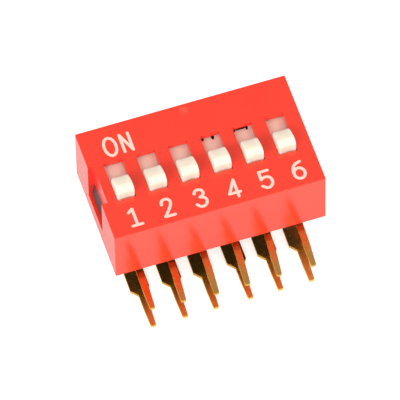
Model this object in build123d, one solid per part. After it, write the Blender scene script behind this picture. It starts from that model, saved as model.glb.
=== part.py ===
from build123d import *
import math
import os

# Right-angle slide DIP switch, all sizes in millimetres.
# The pieces are drawn about the middle of the housing: X runs along the row of switches,
# +Y points to the ON side, and z = 0 is the housing's lower rim. The last section moves
# them so that the origin is under the middle of the whole part, at its lowest point.

# Positions and rows
positions = 6
pitch = 2.54
row_spacing = 7.62

# Housing
housing_height = 5.3
top_wall = 0.42
side_wall = 0.62
end_wall = 0.93
edge_round = 0.08
rim_chamfer = 0.15

# Slots in the top, measured from the middle of the housing
slot_width = 1.47
slot_front = 1.80
slot_back = 1.68

# Window in each end wall for the base's latch. At position 1 it lies in a notch that is
# open at the top, which marks that end.
notch_length = 3.38
notch_depth = 0.47
notch_floor = 1.5
window_height = 1.4

# Base moulding
base_recess = 0.15
floor_top = 1.3
rib_thickness = 0.5
row_cover = 0.40
base_gap = 0.03
rib_gap = 0.05
latch_tab = 0.33
latch_proud = 0.17
latch_gap = 0.04
latch_lead = 0.35

# Sliders
nub_width = 1.37
nub_length = 1.75
nub_rise = 1.2
nub_back_rise = 0.52
nub_crown = 0.10
nub_front_round = 0.45
nub_back_round = 0.20
nub_side_round = 0.15
nub_top_hollow = 0.08
nub_front_hollow = 0.14
nub_steps = 3
nub_round_turns = [35, 65, 90]
plate_thickness = 0.5
plate_cover = 0.12
plate_side_gap = 0.1
slide_gap = 0.05
end_gap = 0.03
block_width = 1.2
block_length = 2.6

# Short-moulded nicks in the rear edge of two plates: where each starts and ends across
# the slider, and how far it reaches into the open slot
plate_nicks = {
    4: [(-0.74, -0.42, 0.17), (0.08, 0.40, 0.27)],
    5: [(-0.75, -0.45, 0.16), (-0.50, 0.32, 0.09), (0.24, 0.52, 0.26)],
}
nick_slant = 0.08

# Bridging contact under each slider
contact_thickness = 0.12
contact_width = 0.9
contact_rise = 1.0
contact_gap = 0.02
contact_seat = 1.1
foot_spread = 1.3
foot_length = 0.3
foot_turn_up = 0.3
stake_width = 0.36
stake_head_width = 0.6
stake_head = 0.12
stake_gap = 0.02

# Terminals
lead_thickness = 0.28
lead_wide = 1.5
lead_narrow = 0.52
lead_tip = 0.4
tip_corner = 0.07
tip_taper = 1.6
bend_radius = 0.35
front_pad_end = -0.2
rear_pad_end = 1.2
front_drop = 0.66
run_spacing = 2.54
front_reach = 3.08
rear_reach = 3.15
front_shoulder_drop = 0.05
front_shoulder_length = 0.38
rear_shoulder_inset = 0.28
rear_shoulder_length = 0.56

# How this switch's legs are bent: the sideways set of each soldering tip, and the angle
# in degrees by which each upper leg falls towards its tip, positions 1 to 6
front_tip_set = [-0.07, -0.16, -0.09, -0.18, -0.22, -0.04]
rear_tip_set = [-0.05, -0.07, -0.17, 0.02, -0.14, -0.21]
front_leg_fall = [1.0, 4.5, 9.0, 8.5, 8.0, 8.5]

# Sizes that follow
cell_width = pitch - rib_thickness
cavity_length = (positions - 1) * pitch + cell_width
housing_length = cavity_length + 2 * end_wall
base_width = row_spacing + 2 * row_cover
cavity_width = base_width + 2 * base_gap
housing_width = cavity_width + 2 * side_wall
cavity_top = housing_height - top_wall
housing_front = -housing_width / 2
housing_back = housing_width / 2
window_top = notch_floor + window_height

travel = slot_front + slot_back - nub_length - 2 * end_gap
nub_front = -slot_front + end_gap
nub_middle = nub_front + nub_length / 2
plate_top = cavity_top - slide_gap
plate_bottom = plate_top - plate_thickness
plate_front = -slot_front - travel - plate_cover
plate_back = slot_back + plate_cover
plate_width = cell_width - 2 * plate_side_gap
block_bottom = floor_top + contact_rise

front_row = -row_spacing / 2
rear_row = row_spacing / 2
front_run_top = -front_drop
rear_run_top = front_run_top - run_spacing
front_tip = housing_front - front_reach
rear_tip = housing_front - rear_reach
lowest = rear_run_top - lead_thickness
stock_width = lead_wide + 2 * max(abs(tip_set) for tip_set in front_tip_set + rear_tip_set)


def place_x(number):
    """Distance of a switch position from the middle of the housing."""
    return (number - (positions + 1) / 2) * pitch


def block(x_low, x_high, y_low, y_high, z_low, z_high):
    """A rectangular block between two opposite corners."""
    size = (x_high - x_low, y_high - y_low, z_high - z_low)
    middle = ((x_low + x_high) / 2, (y_low + y_high) / 2, (z_low + z_high) / 2)
    return Pos(*middle) * Box(*size)


def prism(points, plane, depth):
    """An outline drawn on a plane and pushed out by the same depth on both sides."""
    outline = make_face(Polyline(*points, close=True))
    return extrude(plane * outline, amount=depth, both=True)


def make_housing():
    """The red cover: open below, with six slots, latch windows and the end notch."""
    half_length = housing_length / 2
    shell = block(-half_length, half_length, housing_front, housing_back, 0, housing_height)
    upright = shell.edges().filter_by(Axis.Z)
    top_rim = shell.faces().sort_by(Axis.Z)[-1].edges()
    shell = fillet(upright + top_rim, edge_round)

    half_cavity = cavity_length / 2
    shell -= block(-half_cavity, half_cavity, -cavity_width / 2, cavity_width / 2, 0, cavity_top)
    mouth = shell.faces().filter_by(Axis.Z).sort_by(Axis.Z)[0].inner_wires()[0].edges()
    shell = chamfer(mouth, rim_chamfer)

    for number in range(1, positions + 1):
        x = place_x(number)
        slot = block(x - slot_width / 2, x + slot_width / 2, -slot_front, slot_back, 0, housing_height)
        shell -= slot

    half_notch = notch_length / 2
    wall_face = half_length - notch_depth
    shell -= block(-half_length, -wall_face, -half_notch, half_notch, notch_floor, housing_height)
    shell -= block(-wall_face, -half_cavity, -half_notch, half_notch, notch_floor, window_top)
    shell -= block(half_cavity, half_length, -half_notch, half_notch, notch_floor, window_top)
    return shell


def make_base(terminals):
    """The black base: floor, ribs between the cells and a latch at each end.

    It is moulded round the terminals, so their shapes are taken out of it.
    """
    half_length = cavity_length / 2 - base_gap
    half_width = base_width / 2
    body = block(-half_length, half_length, -half_width, half_width, base_recess, floor_top)

    rib_top = cavity_top - rib_gap
    for number in range(1, positions):
        x = place_x(number) + pitch / 2
        body += block(
            x - rib_thickness / 2, x + rib_thickness / 2, -half_width, half_width, floor_top, rib_top
        )

    half_latch = notch_length / 2 - latch_gap
    hook_low = notch_floor + latch_gap
    hook_high = window_top - latch_gap
    tab_inside = half_length - latch_tab
    hook_nose = housing_length / 2 - notch_depth + latch_proud
    hook = [
        (tab_inside, floor_top),
        (half_length, floor_top),
        (half_length, hook_low),
        (hook_nose, hook_low),
        (hook_nose, hook_low + latch_lead),
        (hook_nose - latch_proud, hook_high),
        (tab_inside, hook_high),
    ]
    latch = prism(hook, Plane.XZ, half_latch)
    body += latch
    body += mirror(latch, Plane.YZ)

    for terminal in terminals:
        body -= terminal
    return body


def nub_profile(x):
    """Side view of a finger nub at a distance from its middle plane.

    It has upright ends and a crowned slope between them. Its middle is hollow, where a
    fingertip or a pen rests, and its flanks are rounded off.
    """
    hollow = 1 - (2 * x / nub_width) ** 2
    past_flat = max(abs(x) - (nub_width / 2 - nub_side_round), 0)
    inset = nub_side_round - math.sqrt(max(nub_side_round**2 - past_flat**2, 0))
    front = nub_front + hollow * nub_front_hollow + inset
    back = nub_front + nub_length - inset
    front_top = housing_height + nub_rise - hollow * nub_top_hollow - inset
    back_top = housing_height + nub_back_rise - hollow * nub_top_hollow - inset
    crown = ((front + back) / 2, (front_top + back_top) / 2 + nub_crown)
    outline = [
        Line((front, plate_top), (front, front_top)),
        ThreePointArc((front, front_top), crown, (back, back_top)),
        Line((back, back_top), (back, plate_top)),
        Line((back, plate_top), (front, plate_top)),
    ]
    profile = make_face(outline)
    profile = fillet(profile.vertices().sort_by(Axis.Y)[-1], nub_front_round)
    back_corner = profile.vertices().group_by(Axis.X)[-1].sort_by(Axis.Y)[-1]
    return fillet(back_corner, nub_back_round)


def make_nub():
    """The finger nub, drawn through side views from flank to flank."""
    flat = nub_width / 2 - nub_side_round
    places = [flat * step / nub_steps for step in range(nub_steps + 1)]
    places += [flat + nub_side_round * math.sin(math.radians(turn)) for turn in nub_round_turns]
    places = [-x for x in places[:0:-1]] + places
    return loft([Plane.YZ.offset(x) * nub_profile(x) for x in places], ruled=True)


def make_slider(number):
    """One white slider: finger nub, cover plate, and the block that carries the contact."""
    plate = block(-plate_width / 2, plate_width / 2, plate_front, plate_back, plate_bottom, plate_top)
    for start, end, depth in plate_nicks.get(number, []):
        nick = [
            (start, plate_back),
            (start + nick_slant, slot_back - depth),
            (end - nick_slant, slot_back - depth),
            (end, plate_back),
        ]
        plate -= Pos(0, 0, plate_top) * prism(nick, Plane.XY, plate_thickness)

    block_front = nub_middle - block_length / 2
    carrier = block(
        -block_width / 2, block_width / 2, block_front, block_front + block_length, block_bottom, plate_bottom
    )

    stake_low = block_bottom - contact_thickness
    half_stake = stake_width / 2
    half_head = stake_head_width / 2
    stake = block(
        -half_stake, half_stake, nub_middle - half_stake, nub_middle + half_stake, stake_low, block_bottom
    )
    head = block(
        -half_head, half_head, nub_middle - half_head, nub_middle + half_head, stake_low - stake_head, stake_low
    )
    return Pos(place_x(number), 0, 0) * (make_nub() + plate + carrier + stake + head)


def make_bridge_contact(number):
    """One gold leaf contact: a flat seat staked to the slider and two sprung feet."""
    seat_line = block_bottom - contact_thickness / 2
    foot_line = floor_top + contact_gap + contact_thickness / 2
    half_foot = foot_length / 2
    side = [
        (contact_seat / 2, seat_line),
        (foot_spread - half_foot, foot_line),
        (foot_spread + half_foot, foot_line),
        (foot_spread + half_foot + foot_turn_up, foot_line + foot_turn_up),
    ]
    points = [(0, nub_middle - y, z) for y, z in reversed(side)] + [(0, nub_middle + y, z) for y, z in side]
    path = FilletPolyline(*points, radius=contact_thickness)
    start = Plane(origin=path @ 0, x_dir=(1, 0, 0), z_dir=path % 0)
    leaf = sweep(start * Rectangle(contact_width, contact_thickness), path=path)
    half_hole = stake_width / 2 + stake_gap
    leaf -= block(
        -half_hole,
        half_hole,
        nub_middle - half_hole,
        nub_middle + half_hole,
        block_bottom - contact_thickness,
        block_bottom,
    )
    return Pos(place_x(number), 0, 0) * leaf


def make_strip(points):
    """A strip of terminal stock, bent along a side-view route, before it is cut to shape."""
    path = FilletPolyline(*[(0, y, z) for y, z in points], radius=bend_radius + lead_thickness / 2)
    start = Plane(origin=path @ 0, x_dir=(1, 0, 0), z_dir=path % 0)
    return sweep(start * Rectangle(stock_width, lead_thickness), path=path)


def leg_outline(root, tip, tip_set, shoulders):
    """Plan outline of a leg from its root to its tip.

    Each shoulder is a distance along Y with the leg's width there. The leg leans so that
    its tip is set sideways, and ends in a taper with small corners.
    """
    stations = shoulders + [(tip + tip_taper, lead_narrow), (tip + tip_corner, lead_tip)]
    stations.append((tip, lead_tip - 2 * tip_corner))
    right = []
    left = []
    for along, width in stations:
        lean = tip_set * (root - along) / (root - tip)
        right.append((lean + width / 2, along))
        left.append((lean - width / 2, along))
    return right + left[::-1]


def make_front_terminal(number):
    """A terminal of the front row: contact pad, short drop, and the upper soldering leg."""
    pad_line = floor_top - lead_thickness / 2
    run_line = front_run_top - lead_thickness / 2
    fall = math.tan(math.radians(front_leg_fall[number - 1])) * (front_row - front_tip)
    strip = make_strip([
        (front_pad_end, pad_line),
        (front_row, pad_line),
        (front_row, run_line),
        (front_tip, run_line - fall),
    ])
    half_wide = lead_wide / 2
    half_narrow = lead_narrow / 2
    shoulder_top = base_recess - front_shoulder_drop
    shoulder_low = shoulder_top - front_shoulder_length
    drop = [
        (-half_wide, shoulder_top),
        (-half_narrow, shoulder_low),
        (-half_narrow, lowest),
        (half_narrow, lowest),
        (half_narrow, shoulder_low),
        (half_wide, shoulder_top),
    ]
    run_start = front_row - lead_thickness / 2
    leg = leg_outline(run_start, front_tip, front_tip_set[number - 1], [(run_start, lead_narrow)])
    upper = strip & block(-half_wide, half_wide, front_tip, rear_row, shoulder_top, floor_top)
    behind = block(-half_wide, half_wide, run_start, rear_row, lowest, shoulder_top)
    middle = strip & prism(drop, Plane.XZ, row_spacing) & behind
    lower = strip & prism(leg, Plane.XY, row_spacing)
    return Pos(place_x(number), 0, 0) * (upper + middle + lower)


def make_rear_terminal(number):
    """A terminal of the rear row: contact pad, long drop, wide run and the lower leg."""
    pad_line = floor_top - lead_thickness / 2
    run_line = rear_run_top - lead_thickness / 2
    strip = make_strip([
        (rear_pad_end, pad_line),
        (rear_row, pad_line),
        (rear_row, run_line),
        (rear_tip, run_line),
    ])
    half_wide = lead_wide / 2
    run_start = rear_row - lead_thickness / 2 - bend_radius
    shoulder_start = housing_front + rear_shoulder_inset
    shoulders = [
        (run_start, lead_wide),
        (shoulder_start, lead_wide),
        (shoulder_start - rear_shoulder_length, lead_narrow),
    ]
    leg = leg_outline(run_start, rear_tip, rear_tip_set[number - 1], shoulders)
    below_base = block(-stock_width, stock_width, rear_tip, run_start, lowest, base_recess)
    run = strip & prism(leg, Plane.XY, row_spacing) & below_base
    pad = strip & block(-half_wide, half_wide, rear_pad_end, run_start, base_recess, floor_top)
    drop = strip & block(-half_wide, half_wide, run_start, rear_row + row_cover, lowest, floor_top)
    return Pos(place_x(number), 0, 0) * (pad + drop + run)


# Put the pieces together
numbers = range(1, positions + 1)
front_terminals = {number: make_front_terminal(number) for number in numbers}
rear_terminals = {number: make_rear_terminal(number) for number in numbers}

pieces = {"housing": make_housing()}
pieces["base"] = make_base(list(front_terminals.values()) + list(rear_terminals.values()))
for number in numbers:
    pieces[f"slider_{number}"] = make_slider(number)
    pieces[f"bridge_contact_{number}"] = make_bridge_contact(number)
    pieces[f"front_terminal_{number}"] = front_terminals[number]
    pieces[f"rear_terminal_{number}"] = rear_terminals[number]

# Move them to the part's own frame and write one file for each piece
foremost = min(front_tip, rear_tip)
to_frame = Pos(0, -(foremost + housing_back) / 2, -lowest)
os.makedirs("parts", exist_ok=True)
for name, piece in pieces.items():
    moved = to_frame * piece
    moved.label = name
    export_step(moved, f"parts/{name}.step")
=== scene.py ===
from math import cos, pi, radians, sin

import bpy
from mathutils import Matrix, Vector


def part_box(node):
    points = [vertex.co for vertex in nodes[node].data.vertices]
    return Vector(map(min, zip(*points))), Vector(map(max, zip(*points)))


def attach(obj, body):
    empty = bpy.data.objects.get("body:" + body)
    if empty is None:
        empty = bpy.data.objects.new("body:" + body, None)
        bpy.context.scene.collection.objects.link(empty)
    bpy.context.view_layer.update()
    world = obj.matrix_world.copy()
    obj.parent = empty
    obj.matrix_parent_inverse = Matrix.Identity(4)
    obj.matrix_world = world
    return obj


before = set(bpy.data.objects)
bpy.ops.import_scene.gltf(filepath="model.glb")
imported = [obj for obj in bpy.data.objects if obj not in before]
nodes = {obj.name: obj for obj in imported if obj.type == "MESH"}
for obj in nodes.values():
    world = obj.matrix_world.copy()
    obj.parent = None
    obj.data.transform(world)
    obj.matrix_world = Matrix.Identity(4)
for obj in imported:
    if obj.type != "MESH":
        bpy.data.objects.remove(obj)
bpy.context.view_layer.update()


# Housing
# One red glass-filled moulding, open below, which drops over the base and snaps on its
# latches. Its faces are moulded semi-gloss with a fine grain, and a faint pale gate mark
# shows near the rear edge of the top.

first_colour, second_colour, mixed_colour = 6, 7, 2  # a Mix node's sockets for colours


def new_finish(name, colour, roughness, metallic=0.0):
    """A finish with its one shader, and the nodes that later steps add to."""
    finish = bpy.data.materials.new(name)
    finish.use_nodes = True
    shader = finish.node_tree.nodes["Principled BSDF"]
    shader.inputs["Base Color"].default_value = (*colour, 1.0)
    shader.inputs["Roughness"].default_value = roughness
    shader.inputs["Metallic"].default_value = metallic
    return finish, finish.node_tree, shader


def add_noise(tree, waves_per_metre, detail):
    """A noise pattern on the piece's own coordinates, in metres."""
    place = tree.nodes.new("ShaderNodeTexCoord")
    noise = tree.nodes.new("ShaderNodeTexNoise")
    noise.inputs["Scale"].default_value = waves_per_metre
    noise.inputs["Detail"].default_value = detail
    tree.links.new(place.outputs["Object"], noise.inputs["Vector"])
    return noise.outputs["Fac"]


def vary_colour(tree, shader, pattern, dark, light):
    """Lets the colour wander between two near shades."""
    shades = tree.nodes.new("ShaderNodeMix")
    shades.data_type = "RGBA"
    shades.inputs[first_colour].default_value = (*dark, 1.0)
    shades.inputs[second_colour].default_value = (*light, 1.0)
    tree.links.new(pattern, shades.inputs["Factor"])
    tree.links.new(shades.outputs[mixed_colour], shader.inputs["Base Color"])


def vary_roughness(tree, shader, pattern, low, high):
    """Lets the gloss wander between two values."""
    spread = tree.nodes.new("ShaderNodeMapRange")
    spread.inputs["To Min"].default_value = low
    spread.inputs["To Max"].default_value = high
    tree.links.new(pattern, spread.inputs["Value"])
    tree.links.new(spread.outputs["Result"], shader.inputs["Roughness"])


def add_grain(tree, shader, pattern, strength, depth):
    """A fine surface grain of that depth in metres."""
    bump = tree.nodes.new("ShaderNodeBump")
    bump.inputs["Strength"].default_value = strength
    bump.inputs["Distance"].default_value = depth
    tree.links.new(pattern, bump.inputs["Height"])
    tree.links.new(bump.outputs["Normal"], shader.inputs["Normal"])


def ramp(tree, value, start, end):
    """Rises from 0 to 1 while the value goes from start to end."""
    rise = tree.nodes.new("ShaderNodeMapRange")
    rise.inputs["From Min"].default_value = start
    rise.inputs["From Max"].default_value = end
    tree.links.new(value, rise.inputs["Value"])
    return rise.outputs["Result"]


def lay_over(tree, shader, amount, colour):
    """Lays another colour over the finish, by an amount from 0 to 1."""
    over = tree.nodes.new("ShaderNodeMix")
    over.data_type = "RGBA"
    over.inputs[second_colour].default_value = (*colour, 1.0)
    tree.links.new(amount, over.inputs["Factor"])
    tree.links.new(shader.inputs["Base Color"].links[0].from_socket, over.inputs[first_colour])
    tree.links.new(over.outputs[mixed_colour], shader.inputs["Base Color"])


def wear(node_name, finish):
    """Gives a carried-over node its finish."""
    node = nodes[node_name]
    node.data.materials.clear()
    node.data.materials.append(finish)


housing_red, red_tree, red_shader = new_finish(
    "housing_red", (0.94, 0.04, 0.022), roughness=0.22
)
red_mottle = add_noise(red_tree, waves_per_metre=260, detail=3)
vary_colour(
    red_tree, red_shader, red_mottle, dark=(0.92, 0.030, 0.015), light=(0.96, 0.042, 0.023)
)
gloss_patches = add_noise(red_tree, waves_per_metre=900, detail=4)
vary_roughness(red_tree, red_shader, gloss_patches, low=0.14, high=0.24)
red_grain = add_noise(red_tree, waves_per_metre=6000, detail=3)
add_grain(red_tree, red_shader, red_grain, strength=0.25, depth=0.00001)
red_shader.inputs["Specular IOR Level"].default_value = 1.0
red_shader.inputs["Specular Tint"].default_value = (1.0, 0.9, 0.65, 1.0)

housing_low, housing_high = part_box("housing")
housing_middle = (housing_low + housing_high) / 2
top_face = housing_high.z
gate_middle = (housing_middle.x + 0.00013, housing_high.y - 0.00055, top_face)
gate_radius = 0.00045
gate_place = red_tree.nodes.new("ShaderNodeTexCoord")
gate_away = red_tree.nodes.new("ShaderNodeVectorMath")
gate_away.operation = "DISTANCE"
gate_away.inputs[1].default_value = gate_middle
red_tree.links.new(gate_place.outputs["Object"], gate_away.inputs[0])
at_gate = ramp(red_tree, gate_away.outputs["Value"], gate_radius, 0.0)
lay_over(red_tree, red_shader, at_gate, colour=(0.95, 0.09, 0.06))
wear("housing", housing_red)


# Base
# One black moulding with the terminals moulded in. It shows as the latches in the windows
# of the end walls and as the floor seen from below, and has a fine matt grain.

base_black, black_tree, black_shader = new_finish(
    "base_black", (0.03, 0.027, 0.025), roughness=0.45
)
black_mottle = add_noise(black_tree, waves_per_metre=500, detail=3)
vary_colour(
    black_tree, black_shader, black_mottle, dark=(0.022, 0.02, 0.019), light=(0.05, 0.044, 0.04)
)
black_grain = add_noise(black_tree, waves_per_metre=5000, detail=4)
add_grain(black_tree, black_shader, black_grain, strength=0.4, depth=0.000015)
wear("base", base_black)


# Sliders
# Six white mouldings, each a finger nub with a hollowed top on a flat plate that closes its
# slot. The plastic is cream-white, satin and slightly translucent. Down in the slots it is
# painted pink, a painted reflection of the red light that the walls round it bounce onto it.


def along(tree, axis):
    """How far a point of the piece lies along an axis, in metres."""
    place = tree.nodes.new("ShaderNodeTexCoord")
    split = tree.nodes.new("ShaderNodeSeparateXYZ")
    tree.links.new(place.outputs["Object"], split.inputs["Vector"])
    return split.outputs[axis]


slider_white, white_tree, white_shader = new_finish(
    "slider_white", (0.92, 0.83, 0.67), roughness=0.55
)
white_mottle = add_noise(white_tree, waves_per_metre=700, detail=2)
vary_colour(
    white_tree, white_shader, white_mottle, dark=(0.90, 0.80, 0.64), light=(0.93, 0.85, 0.70)
)
# Painted bounce light: below the top face the plate is painted pink for the red walls' light.
painted_bounce_start = top_face - 0.00005
painted_bounce_full = top_face - 0.0004
painted_red_bounce = ramp(white_tree, along(white_tree, "Z"), painted_bounce_start, painted_bounce_full)
lay_over(white_tree, white_shader, painted_red_bounce, colour=(0.93, 0.56, 0.46))
white_grain = add_noise(white_tree, waves_per_metre=4000, detail=3)
add_grain(white_tree, white_shader, white_grain, strength=0.2, depth=0.00001)
white_shader.inputs["Specular IOR Level"].default_value = 0.3
white_shader.inputs["Subsurface Weight"].default_value = 0.8
white_shader.inputs["Subsurface Radius"].default_value = (0.0009, 0.0008, 0.0007)
white_shader.inputs["Subsurface Scale"].default_value = 1.0
positions = [int(name.split("_")[1]) for name in nodes if name.startswith("slider_")]
for number in positions:
    wear(f"slider_{number}", slider_white)


# Terminals and contacts
# Stamped from copper alloy strip, bent and gold plated. The plating is bright, with faint
# dents and specks of dust from handling, and duller at the lower tips, which are also
# painted more orange: a painted reflection of the red housing. The leaf contacts under the
# sliders have the same plating.


def roughen(tree, shader, amount, extra):
    """Adds to the roughness, by an amount from 0 to 1."""
    rougher = tree.nodes.new("ShaderNodeMath")
    rougher.operation = "MULTIPLY_ADD"
    rougher.inputs[1].default_value = extra
    tree.links.new(amount, rougher.inputs[0])
    tree.links.new(shader.inputs["Roughness"].links[0].from_socket, rougher.inputs[2])
    tree.links.new(rougher.outputs[0], shader.inputs["Roughness"])


gold_plate, gold_tree, gold_shader = new_finish(
    "gold_plate", (0.85, 0.51, 0.16), roughness=0.16, metallic=1.0
)
gold_mottle = add_noise(gold_tree, waves_per_metre=1500, detail=3)
vary_colour(
    gold_tree, gold_shader, gold_mottle, dark=(0.80, 0.46, 0.10), light=(0.92, 0.57, 0.16)
)
rubbed_patches = add_noise(gold_tree, waves_per_metre=3000, detail=3)
vary_roughness(gold_tree, gold_shader, rubbed_patches, low=0.14, high=0.32)
gold_dents = add_noise(gold_tree, waves_per_metre=5500, detail=3)
add_grain(gold_tree, gold_shader, gold_dents, strength=1.0, depth=0.000012)
gold_shader.inputs["Specular Tint"].default_value = (1.0, 0.72, 0.32, 1.0)

toward_tip = ramp(gold_tree, along(gold_tree, "Y"), -0.003, -0.005)
lower_row = ramp(gold_tree, along(gold_tree, "Z"), 0.0005, 0.0003)
tip_dulling_and_painted_reflection = gold_tree.nodes.new("ShaderNodeMath")
tip_dulling_and_painted_reflection.operation = "MULTIPLY"
gold_tree.links.new(toward_tip, tip_dulling_and_painted_reflection.inputs[0])
gold_tree.links.new(lower_row, tip_dulling_and_painted_reflection.inputs[1])
roughen(gold_tree, gold_shader, tip_dulling_and_painted_reflection.outputs[0], extra=0.10)
# Painted reflection: the lower tips are painted more orange for the red housing they reflect.
lay_over(gold_tree, gold_shader, tip_dulling_and_painted_reflection.outputs[0], colour=(0.99, 0.67, 0.18))
dust_specks = ramp(gold_tree, add_noise(gold_tree, waves_per_metre=7000, detail=2), 0.68, 0.76)
roughen(gold_tree, gold_shader, dust_specks, extra=0.3)
for number in positions:
    wear(f"front_terminal_{number}", gold_plate)
    wear(f"rear_terminal_{number}", gold_plate)
    wear(f"bridge_contact_{number}", gold_plate)


# Legends
# ON and the position numbers are printed on the top face in pale ink, as plain strokes of
# one width with round ends. The print stands a few microns proud of the plastic.

ink_stroke = 0.000235
ink_rise = 0.000012
melt_size = ink_stroke / 16
millimetre = 0.001
curved, straight = True, False


def pen_stroke(points, smooth):
    """One stroke of the pen as a curve, closed where it ends at its start."""
    bpy.ops.object.select_all(action="DESELECT")
    bpy.ops.curve.primitive_bezier_curve_add()
    curve = bpy.context.object
    spline = curve.data.splines[0]
    closed = len(points) > 2 and points[0] == points[-1]
    knots = points[:-1] if closed else points
    spline.bezier_points.add(len(knots) - 2)
    spline.use_cyclic_u = closed
    for knot, (x, y) in zip(spline.bezier_points, knots):
        knot.co = (x * millimetre, y * millimetre, 0)
        knot.handle_left_type = knot.handle_right_type = "AUTO" if smooth else "VECTOR"
    curve.data.bevel_depth = ink_stroke / 2
    curve.data.bevel_resolution = 3
    curve.data.resolution_u = 10
    curve.data.use_fill_caps = True
    return curve


def round_end(x, y):
    """A ball at the end of a stroke, which the flattening turns into a round end."""
    bpy.ops.mesh.primitive_uv_sphere_add(
        segments=20,
        ring_count=10,
        radius=ink_stroke / 2,
        location=(x * millimetre, y * millimetre, 0),
    )
    return bpy.context.object


def printed(name, strokes, place):
    """Prints one character: its strokes joined, melted together and pressed flat."""
    made = []
    for smooth, points in strokes:
        if smooth:
            made.append(pen_stroke(points, smooth))
            ends = [points[0], points[-1]]
        else:
            made.extend(pen_stroke(pair, smooth) for pair in zip(points, points[1:]))
            ends = points
        made.extend(round_end(*point) for point in ends)
    bpy.ops.object.select_all(action="DESELECT")
    for piece in made:
        piece.select_set(True)
    bpy.context.view_layer.objects.active = made[0]
    bpy.ops.object.convert(target="MESH")
    bpy.ops.object.join()
    letter = bpy.context.object
    letter.name = name
    letter.location = (0, 0, 0)
    bpy.ops.object.transform_apply(location=True, rotation=True, scale=True)
    melt = letter.modifiers.new("melt", "REMESH")
    melt.mode = "VOXEL"
    melt.voxel_size = melt_size
    bpy.ops.object.modifier_apply(modifier="melt")
    bpy.ops.object.shade_smooth()
    letter.scale = (1, 1, ink_rise / (ink_stroke / 2))
    letter.location = place
    bpy.ops.object.transform_apply(location=True, rotation=True, scale=True)
    letter.data.materials.clear()
    letter.data.materials.append(legend_ink)
    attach(letter, "root")


def oval(half_width, half_height, middle_y):
    """A closed oval from twelve points, in millimetres."""
    turns = [turn * pi / 6 for turn in range(12)]
    points = [(half_width * cos(turn), middle_y + half_height * sin(turn)) for turn in turns]
    return points + points[:1]


legend_ink, ink_tree, ink_shader = new_finish("legend_ink", (0.94, 0.62, 0.52), roughness=0.45)
ink_mottle = add_noise(ink_tree, waves_per_metre=2500, detail=3)
vary_colour(ink_tree, ink_shader, ink_mottle, dark=(0.92, 0.56, 0.46), light=(0.95, 0.69, 0.58))

# Each character's strokes, in millimetres from its middle
digit_strokes = {
    1: [
        (straight, [(-0.32, 0.46), (0.03, 0.72), (0.03, -0.74)]),
        (straight, [(-0.34, -0.74), (0.42, -0.74)]),
    ],
    2: [
        (
            curved,
            [(-0.36, 0.34), (-0.27, 0.62), (0.0, 0.745), (0.28, 0.62)]
            + [(0.34, 0.34), (0.12, -0.1), (-0.37, -0.74)],
        ),
        (straight, [(-0.37, -0.745), (0.38, -0.745)]),
    ],
    3: [
        (
            curved,
            [(-0.34, 0.48), (-0.2, 0.7), (0.05, 0.745), (0.31, 0.58), (0.3, 0.28), (0.0, 0.08)],
        ),
        (
            curved,
            [(0.0, 0.08), (0.34, -0.08), (0.4, -0.4), (0.2, -0.69), (-0.12, -0.74), (-0.4, -0.48)],
        ),
    ],
    4: [(straight, [(0.22, -0.745), (0.22, 0.745), (-0.4, -0.38), (0.45, -0.38)])],
    5: [
        (straight, [(0.34, 0.745), (-0.34, 0.745), (-0.36, 0.08)]),
        (
            curved,
            [(-0.36, 0.08), (0.0, 0.22), (0.32, 0.08), (0.42, -0.26)]
            + [(0.28, -0.6), (-0.05, -0.745), (-0.42, -0.5)],
        ),
    ],
    6: [
        (curved, [(0.3, 0.72), (-0.12, 0.55), (-0.38, 0.15), (-0.41, -0.3)]),
        (curved, oval(half_width=0.41, half_height=0.465, middle_y=-0.28)),
    ],
}
o_strokes = [(curved, oval(half_width=0.45, half_height=0.79, middle_y=0.0))]
n_strokes = [(straight, [(-0.33, -0.77), (-0.33, 0.77), (0.33, -0.77), (0.33, 0.77)])]

# Places from the middle of the housing. The digits sit a little right of their slots, the
# more so towards position 6.
pitch = 0.00254
middle_position = 3.5
digit_line = -0.0035
digit_drift = {1: 0.00005, 2: 0.0001, 3: 0.00014, 4: 0.00018, 5: 0.00022, 6: 0.00024}
for number in positions:
    across = housing_middle.x + (number - middle_position) * pitch + digit_drift[number]
    place = (across, housing_middle.y + digit_line, top_face)
    printed(f"legend_{number}", digit_strokes[number], place)

letter_line = 0.00295
o_across, n_across = -0.00612, -0.00486
letter_y = housing_middle.y + letter_line
printed("legend_O", o_strokes, (housing_middle.x + o_across, letter_y, top_face))
printed("legend_N", n_strokes, (housing_middle.x + n_across, letter_y, top_face))


# Floor and light
# A plain white floor just under the legs, a pale surround that darkens overhead, and two
# soft lamps in front: a stronger one at the left and a weaker one at the right.

first_number, second_number = 2, 3  # a Mix node's sockets for plain numbers


def by_ray(tree, plain, straight_sight, gloss):
    """A strength for the light on the part, for straight sight, and for gloss or clear parts."""
    rays = tree.nodes.new("ShaderNodeLightPath")
    mirrored = tree.nodes.new("ShaderNodeMath")
    mirrored.operation = "MAXIMUM"
    tree.links.new(rays.outputs["Is Glossy Ray"], mirrored.inputs[0])
    tree.links.new(rays.outputs["Is Transmission Ray"], mirrored.inputs[1])
    in_gloss = tree.nodes.new("ShaderNodeMix")
    in_gloss.inputs[first_number].default_value = plain
    in_gloss.inputs[second_number].default_value = gloss
    tree.links.new(mirrored.outputs[0], in_gloss.inputs["Factor"])
    in_sight = tree.nodes.new("ShaderNodeMix")
    in_sight.inputs[second_number].default_value = straight_sight
    tree.links.new(rays.outputs["Is Camera Ray"], in_sight.inputs["Factor"])
    tree.links.new(in_gloss.outputs["Result"], in_sight.inputs[first_number])
    return in_gloss, in_sight.outputs["Result"]


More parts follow.
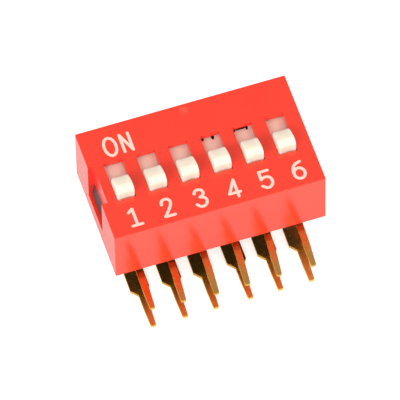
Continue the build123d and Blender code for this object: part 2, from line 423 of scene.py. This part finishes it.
floor_size = 2.0
floor_drop = 0.00002
bpy.ops.object.select_all(action="DESELECT")
bpy.ops.mesh.primitive_plane_add(size=floor_size, location=(0, 0, -floor_drop))
floor = bpy.context.object
floor.name = "floor"
floor_white, floor_tree, floor_shader = new_finish("floor_white", (0.72, 0.72, 0.72), roughness=0.6)
floor_shader.inputs["Emission Color"].default_value = (1, 1, 1, 1)
floor_gloss, floor_glow = by_ray(floor_tree, plain=0.0, straight_sight=0.6, gloss=0.18)
floor_tree.links.new(floor_glow, floor_shader.inputs["Emission Strength"])
floor.data.materials.append(floor_white)

surround = bpy.data.worlds.new("surround")
surround.use_nodes = True
bpy.context.scene.world = surround
sky_tree = surround.node_tree
sky = sky_tree.nodes["Background"]
sky.inputs["Color"].default_value = (1, 1, 1, 1)
sky_gloss, sky_glow = by_ray(sky_tree, plain=0.68, straight_sight=1.0, gloss=1.0)
sky_tree.links.new(sky_glow, sky.inputs["Strength"])
way_out = sky_tree.nodes.new("ShaderNodeTexCoord")
way_up = sky_tree.nodes.new("ShaderNodeSeparateXYZ")
overhead = sky_tree.nodes.new("ShaderNodeMapRange")
overhead.inputs["From Max"].default_value = 0.8
overhead.inputs["To Min"].default_value = 1.0
overhead.inputs["To Max"].default_value = 0.4
sky_tree.links.new(way_out.outputs["Generated"], way_up.inputs["Vector"])
sky_tree.links.new(way_up.outputs["Z"], overhead.inputs["Value"])
sky_tree.links.new(overhead.outputs["Result"], sky_gloss.inputs[second_number])

lamp_distance = 0.3
lamp_size = 0.18


def studio_lamp(name, azimuth, elevation, power):
    """A square lamp on a sphere round the part, turned to face it."""
    flat = cos(radians(elevation))
    across = sin(radians(azimuth)) * flat
    toward_back = -cos(radians(azimuth)) * flat
    way = Vector((across, toward_back, sin(radians(elevation))))
    bpy.ops.object.light_add(type="AREA", location=housing_middle + way * lamp_distance)
    lamp = bpy.context.object
    lamp.name = name
    lamp.rotation_euler = way.to_track_quat("Z", "Y").to_euler()
    lamp.data.size = lamp_size
    lamp.data.energy = power


studio_lamp("key_lamp", azimuth=-48, elevation=34, power=0.55)
studio_lamp("fill_lamp", azimuth=60, elevation=32, power=0.34)


# Camera
# It looks down on the sliders from the front left, from far off, as the photograph does.

view_azimuth = -17.133
view_elevation = 57.998
view_roll = -1.273
view_distance = 0.60865
view_lens = 726.76
view_aim = housing_middle + Vector((-0.000189, -0.000349, -0.002893))
turn = (
    Matrix.Rotation(radians(view_azimuth), 4, "Z")
    @ Matrix.Rotation(radians(90 - view_elevation), 4, "X")
    @ Matrix.Rotation(radians(view_roll), 4, "Z")
)
view_point = view_aim + turn.to_3x3() @ Vector((0, 0, view_distance))
bpy.ops.object.camera_add()
camera = bpy.context.object
camera.matrix_world = Matrix.Translation(view_point) @ turn
camera.data.sensor_width = 36
camera.data.lens = view_lens
camera.data.clip_start = 0.05
camera.data.clip_end = 5
bpy.context.scene.camera = camera

bpy.context.scene.view_settings.view_transform = "Standard"
